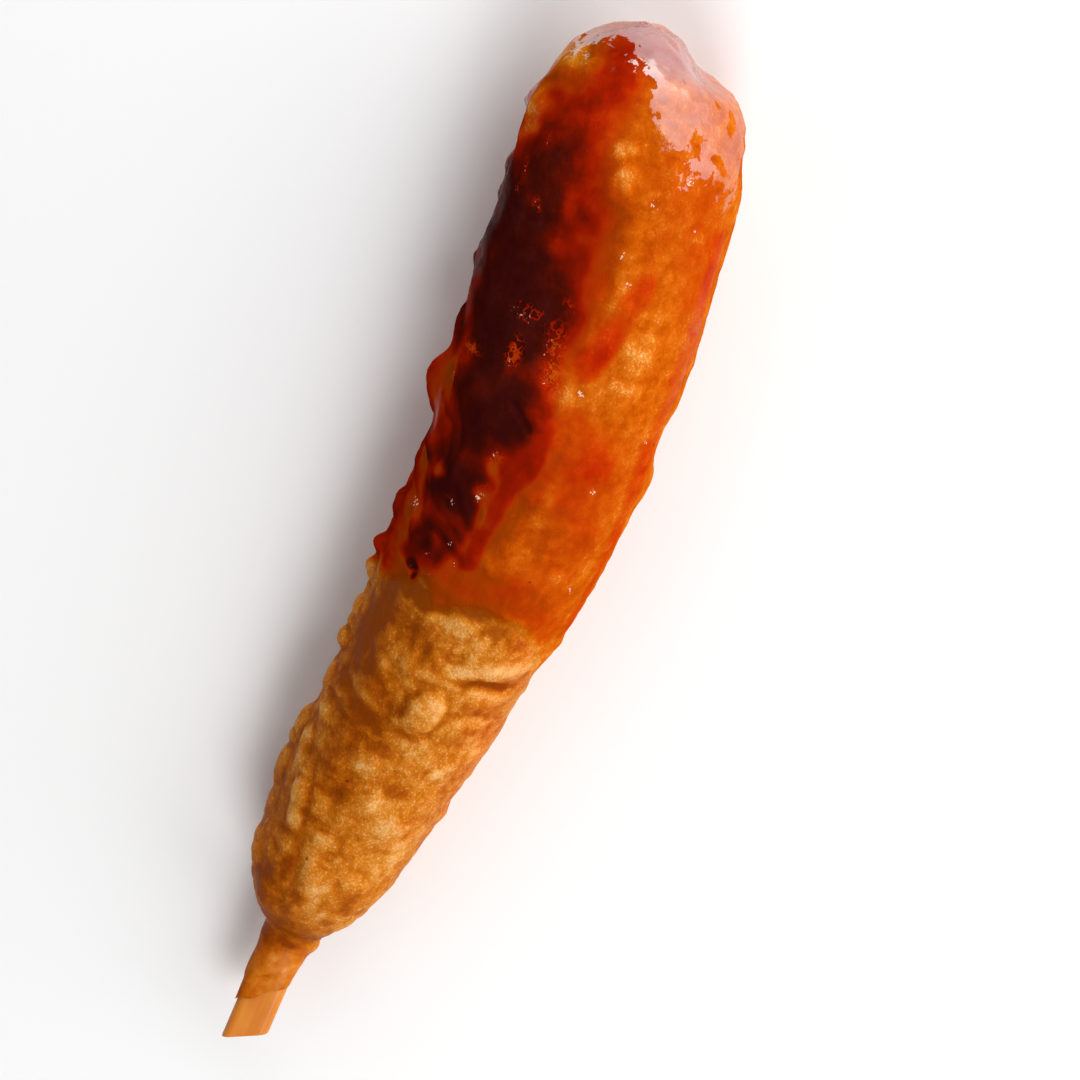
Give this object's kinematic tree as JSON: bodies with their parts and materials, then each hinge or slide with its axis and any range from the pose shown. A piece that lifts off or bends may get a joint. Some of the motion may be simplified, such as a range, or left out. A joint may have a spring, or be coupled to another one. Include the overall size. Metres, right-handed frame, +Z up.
{
  "type": "battered hot dog on a stick",
  "caption": "Deep-fried battered hot dog on a flat wooden stick, the head half coated in a glossy red sauce, lying on its side; a hand-held snack.",
  "frame": {"origin": "middle of the footprint, on the surface the snack lies on", "axes": "+X along the body from the stick to the rounded head, +Z up out of the side shown, +Y to the left when looking from the stick to the head"},
  "size_m": [0.1934, 0.042, 0.0373],
  "materials": {
    "crust": "satin",
    "wood": "satin"
  },
  "bodies": {
    "root": {"batter": "crust", "stick": "wood"}
  },
  "joints": []
}
